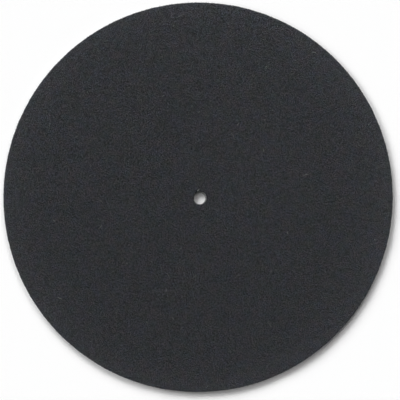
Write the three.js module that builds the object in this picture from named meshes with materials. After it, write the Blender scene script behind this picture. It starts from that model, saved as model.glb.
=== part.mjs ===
// A turntable platter mat: one disc of pressed wool felt, 3 mm thick, with a hole punched for
// the spindle. It lies loose on the platter and carries the record.
//
// Sizes are in millimetres, +Z is up along the spindle, and the origin is the centre of the
// spindle hole on the underside, where the mat meets the platter.

import * as THREE from "three";

// The disc. A mat for 12-inch records stops a few millimetres inside the record's own edge.
const MAT_DIAMETER = 295;
const FELT_THICKNESS = 3;

// The punched hole. It passes the 7.15 mm spindle with play, so the mat drops on and lifts off.
const HOLE_DIAMETER = 9.1;

// The cutting die enters from above. It drags the fibres down with it and rolls the upper rims
// over, and it comes out below with a crisper rim.
const UPPER_RIM_ROUND = 0.5;
const LOWER_RIM_ROUND = 0.2;

// How finely the round forms are divided.
const STEPS_AROUND = 180;
const STEPS_PER_RIM = 2;

// The felt's colour as seen, a blue-tinged charcoal, as sRGB.
const FELT_COLOUR = new THREE.Color().setRGB(0.193, 0.197, 0.207, THREE.SRGBColorSpace);

// The closed section of the felt between the hole and the outer edge. x is the distance from
// the spindle's axis and y is the height. It starts at the outer lower rim and runs up the cut
// edge, in along the face that carries the record, down the wall of the hole and back below.
function feltSection() {
  const outerWall = MAT_DIAMETER / 2;
  const holeWall = HOLE_DIAMETER / 2;
  const quarter = Math.PI / 2;
  const upper = UPPER_RIM_ROUND;
  const lower = LOWER_RIM_ROUND;

  const section = new THREE.Path();
  section.absarc(outerWall - lower, lower, lower, -quarter, 0);
  section.absarc(outerWall - upper, FELT_THICKNESS - upper, upper, 0, quarter);
  section.absarc(holeWall + upper, FELT_THICKNESS - upper, upper, quarter, 2 * quarter);
  section.absarc(holeWall + lower, lower, lower, 2 * quarter, 3 * quarter);
  section.closePath();

  // A path divides each arc into twice the number that it is asked for.
  return section.getPoints(STEPS_PER_RIM / 2);
}

// The section turned once about the spindle's axis. A lathe turns about +Y, so the disc is
// then stood up with that axis along +Z.
function makeFeltMat() {
  const disc = new THREE.LatheGeometry(feltSection(), STEPS_AROUND);
  disc.rotateX(Math.PI / 2);

  const felt = new THREE.MeshStandardMaterial({
    color: FELT_COLOUR,
    roughness: 0.95,
    metalness: 0,
  });
  const mat = new THREE.Mesh(disc, felt);
  mat.name = "felt_mat";
  return mat;
}

const platterMat = new THREE.Group();
platterMat.add(makeFeltMat());

export default platterMat;
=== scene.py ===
# %% [markdown]
# # A felt mat for a record player
#
# The real thing is one piece: a disc of pressed wool felt, punched out of a sheet with a steel
# die that also makes the hole for the spindle. It lies loose on the platter, and a record lies
# on it. Seen from above there is little to it but its surface, so nearly all the work here goes
# into that surface. It is a tangle of short wool fibres, with pale ends and lint on a dark
# ground, a rim that the die left a little ragged, and a hole with a soft edge.
#
# The engineering model of the disc is loaded first. Everything below is made round it, in
# metres, with +Z up through the spindle hole.

# %% Load the frame
import math

import bpy
import numpy as np
from mathutils import Matrix, Vector


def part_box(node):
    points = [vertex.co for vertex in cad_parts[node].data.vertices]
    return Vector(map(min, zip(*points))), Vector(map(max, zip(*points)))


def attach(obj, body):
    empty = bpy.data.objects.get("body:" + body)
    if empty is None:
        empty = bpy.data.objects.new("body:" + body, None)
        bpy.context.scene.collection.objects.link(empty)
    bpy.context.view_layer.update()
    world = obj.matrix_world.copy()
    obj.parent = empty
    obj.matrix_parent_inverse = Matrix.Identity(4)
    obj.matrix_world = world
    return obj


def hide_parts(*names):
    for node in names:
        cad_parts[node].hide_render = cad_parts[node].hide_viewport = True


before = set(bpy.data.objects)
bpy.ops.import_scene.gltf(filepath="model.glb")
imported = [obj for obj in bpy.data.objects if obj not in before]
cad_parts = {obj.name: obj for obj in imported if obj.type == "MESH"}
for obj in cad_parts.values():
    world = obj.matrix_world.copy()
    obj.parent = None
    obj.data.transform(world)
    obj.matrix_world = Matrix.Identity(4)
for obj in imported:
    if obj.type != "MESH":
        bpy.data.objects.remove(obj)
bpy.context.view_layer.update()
print("The frame holds", ", ".join(sorted(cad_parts)))

# %% [markdown]
# ## The sizes come from the model
#
# The disc's radius, its thickness and the radius of its hole could be typed in again here, but
# two copies of a size soon disagree. They are read from the model instead: the first two from
# its box, and the third from the corner that lies nearest to the axis.

# %% Read the mat's sizes
MM = 0.001
lowest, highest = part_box("felt_mat")
MAT_RADIUS = (highest.x - lowest.x) / 2
THICKNESS = highest.z - lowest.z
HOLE_RADIUS = min(math.hypot(v.co.x, v.co.y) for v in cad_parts["felt_mat"].data.vertices)
print(f"Disc {2 * MAT_RADIUS / MM:.1f} mm across and {THICKNESS / MM:.1f} mm thick, "
      f"hole {2 * HOLE_RADIUS / MM:.2f} mm")

# %% [markdown]
# ## The camera looks straight down, or nearly
#
# In the photograph the disc's outline is a circle, but the hole lies a millimetre and a half
# off its middle, towards the lower right. The hole could be moved, but a mat with such a hole
# would wobble as it turns. A camera that leans by three degrees explains it as well: the half
# of the disc that is nearer to the lens looks larger, so the outline's middle creeps that way
# while the hole stays put. So the camera stands eighty centimetres up, a little to the upper
# left.

# %% Place the camera
CAMERA_DISTANCE = 800 * MM
FIELD_WIDTH = 302.85 * MM
LEAN = math.radians(3.2)
LEANS_TOWARDS = math.radians(141)
AIM_X, AIM_Y = 0.26 * MM, -1.11 * MM
# Blender takes a camera's sensor and lens in plain millimetres.
SENSOR_WIDTH = 36

aim = Vector((AIM_X, AIM_Y, THICKNESS))
back = Vector((math.sin(LEAN) * math.cos(LEANS_TOWARDS),
               math.sin(LEAN) * math.sin(LEANS_TOWARDS),
               math.cos(LEAN)))
right = Vector((0, 1, 0)).cross(back).normalized()
camera = bpy.data.objects.new("camera", bpy.data.cameras.new("camera"))
camera.data.sensor_width = SENSOR_WIDTH
camera.data.lens = SENSOR_WIDTH * CAMERA_DISTANCE / FIELD_WIDTH
camera.matrix_world = (Matrix.Translation(aim + CAMERA_DISTANCE * back)
                       @ Matrix((right, back.cross(right), back)).transposed().to_4x4())
bpy.context.scene.collection.objects.link(camera)
bpy.context.scene.camera = camera
print(f"Lens {camera.data.lens:.1f} mm, camera at", [round(c / MM) for c in camera.location])

# %% [markdown]
# ## A row of windows, and a white room
#
# The shadow beside the disc is ten millimetres wide at the lower right and fades out evenly, from
# dark at the wall's foot to nothing. To the right and below it is nearly as wide, and at the
# upper left there is hardly any. One lamp can't do that: a small one draws a hard edge, and a
# large one leaves the foot of the wall too light. With three, each shadow's step can be told
# from the next. Five windows do, low in the sky and in a row from the left to the top right, so
# that their soft shadows run into one another. Suns stand in for them, since suns light the
# floor as evenly as the photograph's is lit. The little that is left comes from the world.
#
# Together they light a white surface to just white, so that each colour below renders as it
# is written.

# %% Set up the light
# A row is the window's direction on the mat, its height and its width, in degrees, and its
# share of the light.
WINDOWS = {
    "left_window": (191, 34, 30, 0.14),
    "corner_window": (150, 23, 22, 0.24),
    "great_window": (116, 22, 22, 0.315),
    "back_window": (80, 25, 23, 0.175),
    "right_window": (43, 39, 22, 0.08),
}
WORLD_SHARE = 1 - sum(share for _, _, _, share in WINDOWS.values())

for name, (comes_from, height, width, share) in WINDOWS.items():
    lamp = bpy.data.objects.new(name, bpy.data.lights.new(name, "SUN"))
    lamp.data.angle = math.radians(width)
    lamp.data.energy = share * math.pi / math.sin(math.radians(height))
    lamp.rotation_euler = (0, math.radians(90 - height), math.radians(comes_from))
    bpy.context.scene.collection.objects.link(lamp)

world = bpy.data.worlds.new("white_room")
world.use_nodes = True
bpy.context.scene.world = world
sky = world.node_tree.nodes
sky.clear()
rays = sky.new("ShaderNodeLightPath")
seen = sky.new("ShaderNodeMath")
seen.operation = "MAXIMUM"
mirrored = sky.new("ShaderNodeMath")
mirrored.operation = "MAXIMUM"
strength = sky.new("ShaderNodeMapRange")
glow = sky.new("ShaderNodeBackground")
out = sky.new("ShaderNodeOutputWorld")
glow.inputs["Color"].default_value = (1, 1, 1, 1)
strength.inputs["To Min"].default_value = WORLD_SHARE
strength.inputs["To Max"].default_value = 1
wire = world.node_tree.links.new
wire(rays.outputs["Is Glossy Ray"], mirrored.inputs[0])
wire(rays.outputs["Is Transmission Ray"], mirrored.inputs[1])
wire(rays.outputs["Is Camera Ray"], seen.inputs[0])
wire(mirrored.outputs[0], seen.inputs[1])
wire(seen.outputs[0], strength.inputs["Value"])
wire(strength.outputs["Result"], glow.inputs["Strength"])
wire(glow.outputs[0], out.inputs["Surface"])

bpy.context.scene.view_settings.view_transform = "Standard"
print(len(WINDOWS), "windows, and the world gives", round(WORLD_SHARE, 2))

# %% [markdown]
# ## The floor
#
# The mat is photographed on plain white. A wide plane just under it does for that: it takes the
# soft shadow, and it shows white through the spindle hole. It isn't part of the object.

# %% Lay the floor
FLOOR_WIDTH = 8.0
FLOOR_WHITE = 0.99

half = FLOOR_WIDTH / 2
floor_mesh = bpy.data.meshes.new("white_table")
floor_mesh.from_pydata([(-half, -half, 0), (half, -half, 0), (half, half, 0), (-half, half, 0)],
                       [], [(0, 1, 2, 3)])
floor = bpy.data.objects.new("white_table", floor_mesh)
bpy.context.scene.collection.objects.link(floor)
table_top = bpy.data.materials.new("white_table_top")
table_top.use_nodes = True
table_top.node_tree.nodes.clear()
chalk = table_top.node_tree.nodes.new("ShaderNodeBsdfDiffuse")
chalk.inputs["Color"].default_value = (FLOOR_WHITE, FLOOR_WHITE, FLOOR_WHITE, 1)
surface = table_top.node_tree.nodes.new("ShaderNodeOutputMaterial")
table_top.node_tree.links.new(chalk.outputs[0], surface.inputs["Surface"])
floor_mesh.materials.append(table_top)
print(f"Floor {FLOOR_WIDTH:.0f} m wide")

# %% [markdown]
# ## How felt lies
#
# Pressed felt is not flat. The fibres clump at a few millimetres, the sheet is a touch thicker
# here than there, and the whole disc swells a little after it is cut. A displacement modifier
# could make such a surface, but the loose fibres further down have to lie on it too. So the
# height is a function of the place, which the body and the fibres both call.
#
# The function is a sum of plain waves whose directions and lengths are drawn at random. A few
# dozen of them are enough for the eye to find no pattern.

# %% Shape the faces
CLUMP_WIDTH, CLUMP_RISE = 4.2 * MM, 0.023 * MM
PATCH_WIDTH, PATCH_RISE = 13 * MM, 0.027 * MM
SWELL_WIDTH, SWELL_RISE = 70 * MM, 0.05 * MM
UPPER_SLACK = 0.02 * MM
UNDER_SLACK = 0.09 * MM
RIM_SINK, RIM_SINK_WIDTH = 0.03 * MM, 1.6 * MM
HOLE_SINK, HOLE_SINK_WIDTH = 0.08 * MM, 1.2 * MM
WAVES_EACH = 32
WAVE_SPREAD = 0.7, 1.5


def random_waves(seed, width):
    """Directions and phases of waves whose lengths spread round the given width."""
    dice = np.random.default_rng(seed)
    turns = math.tau / (width * dice.uniform(*WAVE_SPREAD, WAVES_EACH))
    headings = dice.uniform(0, math.tau, WAVES_EACH)
    phases = dice.uniform(0, math.tau, WAVES_EACH)
    return np.stack([turns * np.cos(headings), turns * np.sin(headings), phases], axis=1)


def rise(x, y, waves):
    """The waves' sum at each place, with a spread of 1 round 0."""
    total = np.zeros_like(x)
    for along_x, along_y, phase in waves:
        total += np.cos(along_x * x + along_y * y + phase)
    return total * math.sqrt(2 / len(waves))


CLUMPS = random_waves(11, CLUMP_WIDTH)
PATCHES = random_waves(12, PATCH_WIDTH)
SWELLS = random_waves(13, SWELL_WIDTH)
UNDER_CLUMPS = random_waves(14, CLUMP_WIDTH)


def rolled(x, y):
    """How far the die pressed the upper face down beside the rim and the hole."""
    radius = np.hypot(x, y)
    at_rim = RIM_SINK * np.exp(-np.abs(MAT_RADIUS - radius) / RIM_SINK_WIDTH)
    at_hole = HOLE_SINK * np.exp(-np.abs(radius - HOLE_RADIUS) / HOLE_SINK_WIDTH)
    return at_rim + at_hole


def upper_face(x, y):
    uneven = (CLUMP_RISE * rise(x, y, CLUMPS) + PATCH_RISE * rise(x, y, PATCHES)
              + SWELL_RISE * rise(x, y, SWELLS))
    return THICKNESS - UPPER_SLACK + uneven - rolled(x, y)


def under_face(x, y):
    return np.maximum(0, UNDER_SLACK + CLUMP_RISE * rise(x, y, UNDER_CLUMPS))


spots = np.random.default_rng(1).uniform(-100 * MM, 100 * MM, (2, 2000))
print(f"The upper face lies {upper_face(*spots).min() / MM:.2f} to "
      f"{upper_face(*spots).max() / MM:.2f} mm up")

# %% [markdown]
# ## The cut edge
#
# The die leaves the rim round to the eye, but up close the felt has torn in places and closed
# up again, so the wall wanders by a tenth of a millimetre. It is made with the same waves, now
# much shorter, and they run on down the wall because the height shifts them. The hole frays
# more than half as much again. The spindle has stretched it, so it is over half a millimetre
# wider all round than the punch left it, very slightly oval, and a little further back.

# %% Fray the cuts
TEAR_WIDTH, TEAR_DEPTH = 1.7 * MM, 0.07 * MM
WANDER_WIDTH, WANDER_DEPTH = 12 * MM, 0.06 * MM
CUT_SLACK = 0.01 * MM
HOLE_FRAYS_MORE = 1.6
HOLE_OVAL, HOLE_SLACK = 0.03 * MM, 0.6 * MM
HOLE_SHIFT = 0.4 * MM
FRAY_REACH = 1.2 * MM
WALL_SHIFT_X, WALL_SHIFT_Y = 0.7, -0.5

TEARS = random_waves(21, TEAR_WIDTH)
WANDERS = random_waves(22, WANDER_WIDTH)


def frayed(radius, turn, height):
    """The radius of a ring's corners, once the nearer cut has moved them in or out."""
    x = radius * np.cos(turn) + WALL_SHIFT_X * height
    y = radius * np.sin(turn) + WALL_SHIFT_Y * height
    tear = TEAR_DEPTH * rise(x, y, TEARS) + WANDER_DEPTH * rise(x, y, WANDERS)
    if radius > (MAT_RADIUS + HOLE_RADIUS) / 2:
        return radius + (tear - CUT_SLACK) * math.exp((radius - MAT_RADIUS) / FRAY_REACH)
    tear = HOLE_FRAYS_MORE * tear - HOLE_OVAL * np.cos(2 * turn) + HOLE_SHIFT * np.sin(turn)
    return radius + (tear + HOLE_SLACK) * math.exp((HOLE_RADIUS - radius) / FRAY_REACH)


wander = frayed(MAT_RADIUS, np.linspace(0, math.tau, 1000), THICKNESS / 2) - MAT_RADIUS
print(f"The rim wanders from {wander.min() / MM:.2f} to {wander.max() / MM:.2f} mm")

# %% [markdown]
# ## The disc as a mesh
#
# A cylinder with a hole would give long thin faces that no relief can bend. A square grid
# would give even faces but a stepped rim. So the disc is built as a lathe would turn it, ring
# after ring, and each ring gets as many corners as its own length needs. Neighbouring rings
# are zipped together: the zip always steps to whichever side is behind, so any two numbers of
# corners fit.
#
# The rings go once round the section: out along the underside, up the wall and over its rolled
# rim, in across the face, and down through the hole to where they began. That closes the
# mesh. The underside is seldom seen, so its rings are wider apart.

# %% Lay out the rings
FACE_STEP = 1.05 * MM
UNDER_STEP = 2.6 * MM
WALL_STEPS = 5
RIM_ROUND, LOWER_ROUND = 0.22 * MM, 0.2 * MM
ROUND_STEPS = 4
HOLE_CORNERS = 90
RIM_CORNERS = 1440


def corners_for(radius, step):
    return max(HOLE_CORNERS, round(math.tau * radius / step))


def across(first, last, step):
    """Radii from first to last, about one step apart."""
    return np.linspace(first, last, round(abs(last - first) / step) + 1)


def ring_points(count, radius, height_at):
    """One ring's corners, frayed beside the nearer cut."""
    turn = np.arange(count) * math.tau / count
    height = height_at(radius * np.cos(turn), radius * np.sin(turn))
    reach = frayed(radius, turn, height)
    return np.stack([reach * np.cos(turn), reach * np.sin(turn), height], axis=1)


def wall_rows():
    """Distances inside the cut, each with its height function, from the bottom to the top."""
    rows = []
    for turn in np.linspace(0, math.pi / 2, ROUND_STEPS, endpoint=False):
        lift = LOWER_ROUND * (1 - math.cos(turn))
        rows.append((LOWER_ROUND * (1 - math.sin(turn)),
                     lambda x, y, lift=lift: under_face(x, y) + lift))
    for share in np.linspace(0, 1, WALL_STEPS + 1):
        rows.append((0, lambda x, y, share=share: (1 - share) * (under_face(x, y) + LOWER_ROUND)
                     + share * (upper_face(x, y) - RIM_ROUND)))
    for turn in np.linspace(0, math.pi / 2, ROUND_STEPS, endpoint=False)[1:]:
        drop = RIM_ROUND * (1 - math.sin(turn))
        rows.append((RIM_ROUND * (1 - math.cos(turn)),
                     lambda x, y, drop=drop: upper_face(x, y) - drop))
    return rows


rings = []
for radius in across(HOLE_RADIUS + LOWER_ROUND, MAT_RADIUS - LOWER_ROUND, UNDER_STEP)[1:-1]:
    rings.append(ring_points(corners_for(radius, UNDER_STEP), radius, under_face))
for inset, height_at in wall_rows():
    rings.append(ring_points(RIM_CORNERS, MAT_RADIUS - inset, height_at))
for radius in across(MAT_RADIUS - RIM_ROUND, HOLE_RADIUS + RIM_ROUND, FACE_STEP):
    rings.append(ring_points(corners_for(radius, FACE_STEP), radius, upper_face))
for inset, height_at in reversed(wall_rows()):
    rings.append(ring_points(HOLE_CORNERS, HOLE_RADIUS + inset, height_at))
print(f"{len(rings)} rings of {min(map(len, rings))} to {max(map(len, rings))} corners")


# %% Zip the rings into one closed body
def zipped(first, first_count, second, second_count):
    """Triangles between two rings, each given by its first corner and number of corners."""
    faces, a, b = [], 0, 0
    while a < first_count or b < second_count:
        here, there = first + a % first_count, second + b % second_count
        if (a + 1) * second_count <= (b + 1) * first_count:
            a += 1
            faces.append((here, first + a % first_count, there))
        else:
            b += 1
            faces.append((second + b % second_count, there, here))
    return faces


def new_piece(name, corners, faces):
    mesh = bpy.data.meshes.new(name)
    mesh.from_pydata(corners, [], faces)
    mesh.shade_smooth()
    piece = bpy.data.objects.new(name, mesh)
    bpy.context.scene.collection.objects.link(piece)
    print(f"{name}: {len(mesh.vertices)} corners, {len(mesh.polygons)} faces")
    return piece


counts = [len(ring) for ring in rings]
starts = np.cumsum([0] + counts[:-1]).tolist()
body_faces = []
for i in range(len(rings)):
    j = (i + 1) % len(rings)
    body_faces += zipped(starts[i], counts[i], starts[j], counts[j])
felt = new_piece("pressed_felt", np.concatenate(rings), body_faces)

# %% [markdown]
# ## Fibres, one shape for all
#
# What makes the surface felt is its loose fibres, which no relief can give. Blender's hair
# curves would draw them well, but hair is not a mesh and is lost when the model is handed on.
# Round tubes would be wasted on something a tenth of a millimetre thick. Each fibre here is a
# spindle: two pointed ends, and between them a few three-sided rings. Four points along it cost
# twelve triangles, and tens of thousands of such fibres can then lie on the mat.
#
# One function turns the points of many fibres into one mesh, and the kinds of fibre differ
# only in the points that they hand to it.
#
# The render needs no unwrapping, because the finishes are noise in the mat's own coordinates.
# The export does, since it paints each finish on a square picture. Blender's own unwrapping
# would give every fibre a margin and leave no room for the fibres, so they are laid on the
# square just as they are seen from above.

# %% Lay a piece on the export's square
MAP_MARGIN = 1.02
MAP_WIDTH = 2 * MAP_MARGIN * MAT_RADIUS
print(f"The square is {MAP_WIDTH / MM:.0f} mm wide")


def map_from_above(piece):
    """Gives each corner its place on the square, as seen from above."""
    mesh = piece.data
    places = np.empty(3 * len(mesh.vertices), np.float32)
    mesh.vertices.foreach_get("co", places)
    used = np.empty(len(mesh.loops), np.int32)
    mesh.loops.foreach_get("vertex_index", used)
    spots = 0.5 + places.reshape(-1, 3)[used, :2] / MAP_WIDTH
    mesh.uv_layers.new(name="OFBake").uv.foreach_set("vector", spots.ravel())
    return piece


# %% Turn fibre points into spindles
TINY = 1e-9


def spindles(name, points, widths, sides=3):
    """points is (fibres, points along each, 3), and widths is each fibre's greatest width."""
    fibres, along, _ = points.shape
    middle_points = points[:, 1:-1]
    heading = points[:, 2:] - points[:, :-2]
    heading /= np.linalg.norm(heading, axis=2, keepdims=True)
    beside = np.cross(heading, (0, 0, 1))
    beside /= np.maximum(np.linalg.norm(beside, axis=2, keepdims=True), TINY)
    above = np.cross(beside, heading)
    angles = math.pi / 2 + np.arange(sides) * math.tau / sides
    circle = (np.cos(angles)[:, None] * beside[:, :, None]
              + np.sin(angles)[:, None] * above[:, :, None])
    ring_corners = middle_points[:, :, None] + widths[:, None, None, None] / 2 * circle
    corners = np.concatenate([points[:, :1], ring_corners.reshape(fibres, -1, 3),
                              points[:, -1:]], axis=1)
    tip = 1 + (along - 2) * sides
    pattern = []
    for k in range(sides):
        following = (k + 1) % sides
        pattern.append((0, 1 + k, 1 + following))
        for ring in range(along - 3):
            low, high = 1 + ring * sides, 1 + (ring + 1) * sides
            pattern.append((low + k, high + k, high + following))
            pattern.append((low + k, high + following, low + following))
        last = tip - sides
        pattern.append((last + k, tip, last + following))
    per_fibre = tip + 1
    faces = np.array(pattern)[None] + np.arange(fibres)[:, None, None] * per_fibre
    piece = new_piece(name, corners.reshape(-1, 3), faces.reshape(-1, 3).tolist())
    return map_from_above(piece)


# %% [markdown]
# ## The nap on the faces
#
# The nap is the layer of fibres that lies on each face. A fibre here is two to five
# millimetres long, bows a little to one side, starts and ends just inside the felt and lifts
# off it by less than its own thickness between. A few end in the air. The wool was a blend,
# so there are three shades of it, and each shade is a piece of its own.

# %% Lay the nap
SHADE_FIBRES = 15500
UNDER_FIBRES = 9000
FIBRE_LENGTHS = 1.6 * MM, 5.0 * MM
FIBRE_WIDTHS = 0.1 * MM, 0.22 * MM
ROOT_DEPTH = 0.04 * MM
LIFTS = 0.0 * MM, 0.08 * MM
FREE_ENDS = 0.08
FREE_END_LIFTS = 0.1 * MM, 0.45 * MM
LEAST_HEIGHT = 0.09 * MM
NAP_ALONG = np.array([-0.5, -0.18, 0.18, 0.5])
NAP_MARGIN = 0.8 * MM
NAP_BOW = 0.1


def scattered(dice, count, inner, outer):
    """Places spread evenly over the felt between two radii."""
    radius = np.sqrt(dice.uniform(inner ** 2, outer ** 2, count))
    turn = dice.uniform(0, math.tau, count)
    return radius * np.cos(turn), radius * np.sin(turn)


def lying(along, x, y, heading, length, bow):
    """The run of each fibre over the face, from above. along gives its points, -0.5 to 0.5."""
    aside = (1 - 4 * along ** 2) * bow[:, None]
    along = along * length[:, None]
    cosine, sine = np.cos(heading)[:, None], np.sin(heading)[:, None]
    return (x[:, None] + along * cosine - aside * sine,
            y[:, None] + along * sine + aside * cosine)


def nap(name, seed, count, height_at, upwards=1):
    """Fibres on a face. upwards is 1 where they lift off it, and 0 where they lie in it."""
    dice = np.random.default_rng(seed)
    x, y = scattered(dice, count, HOLE_RADIUS + NAP_MARGIN, MAT_RADIUS - NAP_MARGIN)
    length = dice.uniform(*FIBRE_LENGTHS, count)
    x, y = lying(NAP_ALONG, x, y, dice.uniform(0, math.tau, count), length,
                 dice.normal(0, NAP_BOW, count) * length)
    lift = dice.uniform(*LIFTS, (count, len(NAP_ALONG)))
    lift[:, [0, -1]] = -ROOT_DEPTH
    free = dice.random(count) < FREE_ENDS
    lift[free, -1] = dice.uniform(*FREE_END_LIFTS, free.sum())
    z = np.maximum(height_at(x, y) + upwards * lift, LEAST_HEIGHT)
    points = np.stack([x, y, z], axis=2)
    return spindles(name, points, dice.uniform(*FIBRE_WIDTHS, count))


dark_nap = nap("dark_nap", 31, SHADE_FIBRES, upper_face)
grey_nap = nap("grey_nap", 32, SHADE_FIBRES, upper_face)
blue_nap = nap("blue_nap", 33, SHADE_FIBRES, upper_face)
under_nap = nap("under_nap", 34, UNDER_FIBRES, under_face, upwards=0)

# %% [markdown]
# ## Fuzz on the cuts
#
# Where the die went through, cut fibres stand out of the wall by a few tenths of a millimetre.
# They are what makes the edge of the mat look soft. In the hole they are painted paler, as painted
# light in the hole's shade. They start inside the wall, and most of them lean along it.

# %% Let fibres stand out of the cuts
EDGE_FIBRES = 7000
HOLE_FIBRES = 300
EDGE_STAND, HOLE_STAND = 0.24 * MM, 0.13 * MM
LEAST_STAND = 0.05 * MM
EDGE_LEAN, LEAN_POWER = 0.8 * MM, 1.4
FUZZ_ROOT = 0.3 * MM
ROOTS_UP_THE_WALL = 0.12, 0.97
TIP_RISES = -0.3 * MM, 0.25 * MM
FUZZ_ALONG = np.array([0, 0.4, 0.75, 1])
FUZZ_CLEARANCE = 0.05 * MM


def fuzz(name, seed, count, wall, outwards, stand):
    """Fibres that stand out of a cut, outwards from the disc or into its hole."""
    dice = np.random.default_rng(seed)
    turn = dice.uniform(0, math.tau, count)
    out_by = np.abs(dice.normal(0, stand, count)) + LEAST_STAND
    lean = dice.normal(0, EDGE_LEAN, count) / wall
    tip_rise = dice.uniform(*TIP_RISES, count)
    root = dice.uniform(*ROOTS_UP_THE_WALL, count)
    turns = turn[:, None] + lean[:, None] * FUZZ_ALONG ** LEAN_POWER
    stands = out_by[:, None] * FUZZ_ALONG - FUZZ_ROOT * (1 - FUZZ_ALONG)
    reach = wall + outwards * stands
    x, y = reach * np.cos(turns), reach * np.sin(turns)
    low, high = under_face(x, y), upper_face(x, y)
    z = low + root[:, None] * (high - low) + tip_rise[:, None] * FUZZ_ALONG
    points = np.stack([x, y, np.maximum(z, FUZZ_CLEARANCE)], axis=2)
    return spindles(name, points, dice.uniform(*FIBRE_WIDTHS, count))


edge_fuzz = fuzz("edge_fuzz", 41, EDGE_FIBRES, MAT_RADIUS, outwards=1, stand=EDGE_STAND)
hole_fuzz = fuzz("hole_fuzz", 42, HOLE_FIBRES, HOLE_RADIUS, outwards=-1, stand=HOLE_STAND)

# %% [markdown]
# ## Lint, and wool that never took the dye
#
# On a dark mat the eye goes at once to what is pale: undyed hairs that came with the wool, and
# lint off record sleeves. There are a few dozen, most of them two to seven millimetres long, and
# they lean up to the right or down to the right far more often than they lie level. A random
# scatter would put them anywhere, so they are listed one by one, each at its own place on the mat.
# They are rounder and finer in their bends than the nap, as they are what gets looked at, and one
# short thick end hangs over the rim of the hole.

# %% Drop the lint
# A row is the middle's place on the mat, in mm from the spindle, then the heading in degrees,
# the length and the sideways bow in mm, and the thickness in hundredths of a millimetre.
LONG_HAIRS = [
    (-74.5, -2.2, -34, 5.0, 0.3, 15), (-75.5, -21.6, 49, 4.2, -0.3, 20),
    (50.2, 99.4, 45, 3.9, 0.1, 16), (51.2, 99.0, 45, 3.4, 0.1, 12),
    (86.6, 110.0, -6, 4.6, 0.6, 15), (25.4, 46.8, -61, 6.9, 0.2, 12),
    (80.8, 17.4, 18, 4.6, 0.7, 22), (-105.5, -75.3, -23, 4.2, 0.0, 21),
    (-92.5, 47.0, 43, 4.9, -0.2, 10), (-112.3, 55.4, 78, 7.4, 0.4, 9),
    (-54.8, -14.7, 79, 4.0, 0.2, 15), (-14.9, 136.7, 31, 6.8, 0.5, 10),
    (76.4, 93.5, 4, 4.6, 0.9, 10), (-24.1, -57.8, -59, 4.0, 0.1, 13),
    (-3.9, -59.5, 48, 4.6, 0.1, 12), (29.2, -60.0, 27, 4.8, 1.1, 11),
    (96.5, -65.3, -92, 4.4, 0.1, 11), (52.9, -96.4, -53, 6.9, 0.6, 11),
    (-62.6, -85.4, 68, 3.7, -0.3, 11), (-40.0, -94.2, -49, 3.1, 0.2, 12),
    (25.7, 15.0, 5, 3.4, 0.2, 9), (5.9, -143.4, 46, 3.4, 0.0, 9),
]
SHORT_ENDS = [
    (29.1, 56.1, 47, 2.7, 0.1, 22), (48.5, 36.6, 76, 2.5, 0.0, 20), (-0.3, 65.3, 51, 2.5, 0.1, 27),
    (66.8, -26.0, -78, 2.0, 0.0, 28), (-25.1, -69.9, -83, 2.0, 0.0, 20),
    (49.1, 59.2, 55, 2.1, 0.1, 19), (-20.1, -91.6, -50, 2.8, 0.2, 19),
    (-54.9, -49.2, -40, 2.4, 0.0, 17), (54.5, -55.3, 85, 2.4, 0.0, 11),
    (47.9, -60.7, -42, 2.1, 0.0, 11), (-13.9, -98.8, 45, 2.4, 0.0, 14),
    (-82.0, -107.7, 45, 2.6, 0.0, 10), (133.9, -32.0, -54, 2.1, 0.0, 13),
    (-109.6, -16.5, -42, 1.8, 0.0, 19), (-36.5, -47.8, -42, 1.8, 0.0, 19),
    (128.7, 56.2, 48, 1.8, 0.0, 20),
]
SPECKS = [
    (58.8, 129.9, 49, 1.5, 0.0, 23), (-14.4, -38.0, 41, 1.4, 0.0, 26),
    (-27.8, 77.1, 47, 1.4, 0.0, 30), (-84.5, 79.9, 49, 1.4, 0.0, 28),
    (-5.8, 69.6, 48, 1.6, 0.0, 15), (-19.3, 130.0, 45, 1.4, 0.0, 20),
    (-82.0, 24.4, 52, 1.6, 0.0, 18), (-11.3, -1.8, 45, 1.6, 0.0, 18),
    (47.1, -0.6, 45, 1.4, 0.0, 18),
]
LINT_LIFT = 0.16 * MM
LINT_ALONG = np.linspace(-0.5, 0.5, 9)
ARCH_FLATNESS = 4


def drop(name, rows):
    """Lays a list of hairs on the upper face."""
    x, y, heading, length, bow, thickness = np.array(rows, float).T
    x, y = lying(LINT_ALONG, x * MM, y * MM, np.radians(heading), length * MM, bow * MM)
    arch = 1 - (2 * LINT_ALONG) ** ARCH_FLATNESS
    z = upper_face(x, y) + LINT_LIFT * arch
    return spindles(name, np.stack([x, y, z], axis=2), thickness * MM / 100, sides=6)


lint = drop("pale_lint", LONG_HAIRS + SHORT_ENDS + SPECKS)

# %% [markdown]
# One thick end hangs over the hole's rim. Its root is in the wall, and it bends up over the
# corner, so that its tip lies on the felt. Seen from above the tip is a bright bead.

# %% Stand one end in the hole
# The points are in mm from the spindle's axis and the floor.
END_POINTS = [(-1.9, 5.1, 2.6), (-1.5, 5.7, 2.95), (-0.8, 6.3, 3.15), (-0.6, 6.9, 3.15),
              (-0.55, 7.6, 3.0)]
END_THICKNESS = 0.38 * MM
end_points = np.array([END_POINTS]) * MM
hole_end = spindles("hole_end", end_points, np.array([END_THICKNESS]), sides=8)

# %% [markdown]
# ## The felt's finish
#
# Felt scatters light and has no gloss, so its finish is nearly all colour: a blue-tinged
# charcoal that is never even. An image of felt would show it, but it would fix the grain to
# one size and repeat. Noise in the mat's own coordinates has no seam, and its scale can be
# given in real lengths.

# %% Helpers for the finishes
# A Mix node has a pair of sockets for each kind of value, all under the same two names, so
# its colours are reached by number.
MIX_FIRST, MIX_SECOND, MIX_RESULT = 6, 7, 2


def add(tree, kind, **settings):
    """Adds a shader node and sets its options."""
    node = tree.nodes.new("ShaderNode" + kind)
    for name, value in settings.items():
        setattr(node, name, value)
    return node


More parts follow.
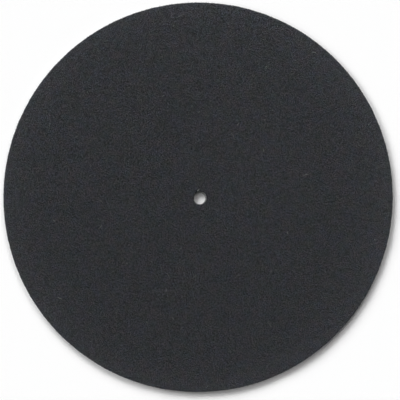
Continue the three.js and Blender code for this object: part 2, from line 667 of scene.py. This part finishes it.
def feed(tree, socket, value):
    """Links the socket to another one, or sets it to a plain value."""
    if isinstance(value, bpy.types.NodeSocket):
        tree.links.new(value, socket)
    else:
        socket.default_value = value


def maths(tree, operation, first, second=0.0):
    node = add(tree, "Math", operation=operation)
    feed(tree, node.inputs[0], first)
    feed(tree, node.inputs[1], second)
    return node.outputs[0]


def noise(tree, place, width, detail=2.0, seed=0.0):
    """Soft noise round 0 whose lumps are about one width across."""
    node = add(tree, "TexNoise", noise_dimensions="4D")
    node.inputs["W"].default_value = seed
    feed(tree, node.inputs["Vector"], place)
    node.inputs["Scale"].default_value = 1 / width
    node.inputs["Detail"].default_value = detail
    return maths(tree, "SUBTRACT", node.outputs["Fac"], 0.5)


def drift(tree, place, width, contrast, seed=0.0):
    """Noise that moves from one thing, at 0, to another, at 1."""
    swing = maths(tree, "MULTIPLY", noise(tree, place, width, seed=seed), contrast)
    return maths(tree, "ADD", swing, 0.5)


def mixed(tree, factor, first, second, **settings):
    """Mixes two colours, each of them a socket or plain."""
    node = add(tree, "Mix", data_type="RGBA", **settings)
    feed(tree, node.inputs["Factor"], factor)
    feed(tree, node.inputs[MIX_FIRST], first)
    feed(tree, node.inputs[MIX_SECOND], second)
    return node.outputs[MIX_RESULT]


def stretched(tree, place, heading, ratio):
    """The place, turned to a heading and squeezed along it, so that noise on it is drawn out."""
    node = add(tree, "Mapping", vector_type="TEXTURE")
    feed(tree, node.inputs["Vector"], place)
    node.inputs["Rotation"].default_value = (0, 0, heading)
    node.inputs["Scale"].default_value = (ratio, 1, 1)
    return node.outputs[0]


# %% [markdown]
# Four things change the tone from place to place: the distance from the rim, clouds, grains and
# strokes. The first is painted light: the felt is painted paler towards the rim. A little painted
# light makes it paler at the back too.

# %% Paint light on the rim and the back
# How much painted light makes the rim and the back paler.
RIM_PAINTED_LIGHT, RIM_PAINTED_LIGHT_WIDTH = 0.31, 15 * MM
PAINTED_LIGHT_AT_BACK = 0.11
print(f"The rim is {RIM_PAINTED_LIGHT:.0%} paler, over about {RIM_PAINTED_LIGHT_WIDTH / MM:.0f} mm")


def painted_light_tone(tree, place):
    """Painted light: about 1 over most of the mat, rising towards the rim and a little towards the
    back.
    """
    flat = add(tree, "VectorMath", operation="MULTIPLY")
    feed(tree, flat.inputs[0], place)
    flat.inputs[1].default_value = (1, 1, 0)
    radius = add(tree, "VectorMath", operation="LENGTH")
    feed(tree, radius.inputs[0], flat.outputs[0])
    inside = maths(tree, "SUBTRACT", radius.outputs["Value"], MAT_RADIUS)
    near = maths(tree, "EXPONENT", maths(tree, "DIVIDE", inside, RIM_PAINTED_LIGHT_WIDTH))
    split = add(tree, "SeparateXYZ")
    feed(tree, split.inputs[0], place)
    back = maths(tree, "MULTIPLY", split.outputs["Y"], PAINTED_LIGHT_AT_BACK / MAT_RADIUS)
    tone = maths(tree, "ADD", maths(tree, "MULTIPLY", near, RIM_PAINTED_LIGHT), back)
    return maths(tree, "ADD", tone, 1.0)


# %% [markdown]
# Grains six tenths of a millimetre wide are the strongest of the four, and they also raise the
# surface as a bump. They are drawn out a little the way the wool was carded. Strokes are noise
# stretched into short lines in several directions, and stand for the fibres pressed too deep to
# be modelled.
#
# Noise has layers, and it is weak in some and strong in others. A face that rises and falls
# through them would show the grain in patches, so the height is rounded before it is used.

# %% Draw the grain and the strokes
NOISE_LAYER = 1 * MM
GRAIN_WIDTH, GRAIN_RATIO, GRAIN_STRENGTH = 0.6 * MM, 1.3, 4.5
CARDED_ALONG = math.radians(65)
STROKE_WIDTH, STROKE_RATIO, STROKE_STRENGTH = 0.3 * MM, 5, 0.5
STROKE_HEADINGS, FIRST_STROKE = 4, 0.3
print(f"Grains {GRAIN_WIDTH / MM:.1f} mm wide, and strokes in {STROKE_HEADINGS} headings")


def levelled(tree, place):
    """The place with its height rounded, so that each face cuts one even layer of noise."""
    split = add(tree, "SeparateXYZ")
    feed(tree, split.inputs[0], place)
    raised = maths(tree, "ADD", split.outputs["Z"], NOISE_LAYER / 2)
    join = add(tree, "CombineXYZ")
    feed(tree, join.inputs["X"], split.outputs["X"])
    feed(tree, join.inputs["Y"], split.outputs["Y"])
    feed(tree, join.inputs["Z"], maths(tree, "SNAP", raised, NOISE_LAYER))
    return join.outputs[0]


def felt_grain(tree, place):
    """The grain and the strokes of the pressed ground, round 0."""
    flat_place = levelled(tree, place)
    carded = stretched(tree, flat_place, CARDED_ALONG, GRAIN_RATIO)
    grain = noise(tree, carded, GRAIN_WIDTH, detail=0.0)
    speckle = maths(tree, "MULTIPLY", grain, GRAIN_STRENGTH)
    for turn in range(STROKE_HEADINGS):
        heading = math.pi * (turn + FIRST_STROKE) / STROKE_HEADINGS
        drawn = stretched(tree, flat_place, heading, STROKE_RATIO)
        stroke = maths(tree, "MULTIPLY", noise(tree, drawn, STROKE_WIDTH), STROKE_STRENGTH)
        speckle = maths(tree, "ADD", speckle, stroke)
    return speckle


# %% [markdown]
# The hue drifts as well. One noise mixes a warm charcoal with a bluer one, and another takes a
# little red and blue out in places, which leaves a hint of moss green.

# %% Let the hue drift
TINT_WIDTH, TINT_CONTRAST = 6 * MM, 2.8
MOSS_WIDTH, MOSS_CONTRAST, MOSS_SEED = 6 * MM, 3.7, 7
MOSS = 0.895, 1.0, 0.895
print(f"Where it is mossy, the felt loses {1 - MOSS[0]:.0%} of its red and of its blue")


def wool_hue(tree, place, shade, other_shade):
    """The colour that drifts between two shades, and is mossy in places."""
    warm_or_blue = drift(tree, place, TINT_WIDTH, TINT_CONTRAST)
    tint = mixed(tree, warm_or_blue, (*shade, 1), (*other_shade, 1))
    mossy = drift(tree, place, MOSS_WIDTH, MOSS_CONTRAST, MOSS_SEED)
    return mixed(tree, mossy, tint, (*MOSS, 1), blend_type="MULTIPLY")


# %% [markdown]
# All the kinds of wool share one recipe: a hue, a tone that scales it, and a surface that
# shines hardly at all. Clouds a few millimetres wide go over them all. Only the pressed ground
# has the grain and its bump. A fibre is thinner than a grain, so it changes its tone along its
# length instead.

# %% Make the wool
WOOL_SURFACE = {
    "Roughness": 0.95,
    "Specular IOR Level": 0.02,
    "Sheen Weight": 0.06,
    "Sheen Roughness": 0.45,
}
CLOUD_WIDTH, CLOUD_STRENGTH = 3.6 * MM, 0.5
FIBRE_TONE_WIDTH, FIBRE_TONE_STRENGTH = 2.2 * MM, 1.2
GRAIN_HEIGHT, BUMP_STRENGTH = 0.5 * MM, 0.6
LEAST_TONE = 0.1


def wool(name, shade, other_shade, deep_grain=False):
    material = bpy.data.materials.new(name)
    material.use_nodes = True
    tree = material.node_tree
    place = add(tree, "TexCoord").outputs["Object"]
    if deep_grain:
        speckle = felt_grain(tree, place)
    else:
        along_it = noise(tree, place, FIBRE_TONE_WIDTH, detail=0.0)
        speckle = maths(tree, "MULTIPLY", along_it, FIBRE_TONE_STRENGTH)
    clouds = maths(tree, "MULTIPLY", noise(tree, place, CLOUD_WIDTH), CLOUD_STRENGTH)
    # The painted light of the rim and the back goes into the tone of every wool.
    tone = maths(tree, "ADD", painted_light_tone(tree, place), clouds)
    tone = maths(tree, "ADD", tone, speckle)
    colour = add(tree, "VectorMath", operation="SCALE")
    feed(tree, colour.inputs[0], wool_hue(tree, place, shade, other_shade))
    feed(tree, colour.inputs["Scale"], maths(tree, "MAXIMUM", tone, LEAST_TONE))
    fabric = tree.nodes["Principled BSDF"]
    feed(tree, fabric.inputs["Base Color"], colour.outputs[0])
    for setting, value in WOOL_SURFACE.items():
        fabric.inputs[setting].default_value = value
    if deep_grain:
        bump = add(tree, "Bump")
        bump.inputs["Distance"].default_value = GRAIN_HEIGHT
        bump.inputs["Strength"].default_value = BUMP_STRENGTH
        feed(tree, bump.inputs["Height"], speckle)
        feed(tree, fabric.inputs["Normal"], bump.outputs[0])
    print(f"{name}: {len(tree.nodes)} nodes")
    return material


# %% [markdown]
# The ground is a charcoal with a bluer twin. The loose fibres were dyed apart from it, some
# darker and some paler, and the hairs that took no dye are several times as bright.

# %% Give each piece its wool
CHARCOAL = 0.0418, 0.0387, 0.0428
CHARCOAL_BLUE = 0.0358, 0.0381, 0.0485
FINISHES = {
    felt: wool("felt_ground", CHARCOAL, CHARCOAL_BLUE, deep_grain=True),
    dark_nap: wool("dark_wool", (0.0242, 0.0225, 0.0270), (0.0248, 0.0248, 0.0248)),
    grey_nap: wool("grey_wool", (0.0450, 0.0484, 0.0495), (0.0495, 0.0495, 0.0506)),
    blue_nap: wool("blue_wool", (0.0358, 0.0388, 0.0478), (0.0388, 0.0408, 0.0458)),
    under_nap: wool("under_wool", (0.0340, 0.0360, 0.0405), (0.0383, 0.0383, 0.0416)),
    edge_fuzz: wool("edge_wool", (0.0383, 0.0405, 0.0450), (0.0450, 0.0450, 0.0473)),
    # The hole's fuzz is painted paler, as painted light in the shade of the hole.
    hole_fuzz: wool("hole_wool_painted_light", (0.08, 0.083, 0.087), (0.1, 0.1, 0.102)),
    lint: wool("undyed_wool", (0.20, 0.205, 0.21), (0.24, 0.24, 0.235)),
    hole_end: wool("undyed_end", (0.20, 0.205, 0.21), (0.24, 0.24, 0.235)),
}
for piece, finish in FINISHES.items():
    piece.data.materials.append(finish)
print(len(FINISHES), "pieces have their finish")

# %% [markdown]
# ## Tie the pieces to the model
#
# The mat is one body, so every piece rides on it. The felt takes the place of the plain disc,
# which is only hidden.

# %% Ride and replace
for piece in FINISHES:
    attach(piece, "root")
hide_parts("felt_mat")
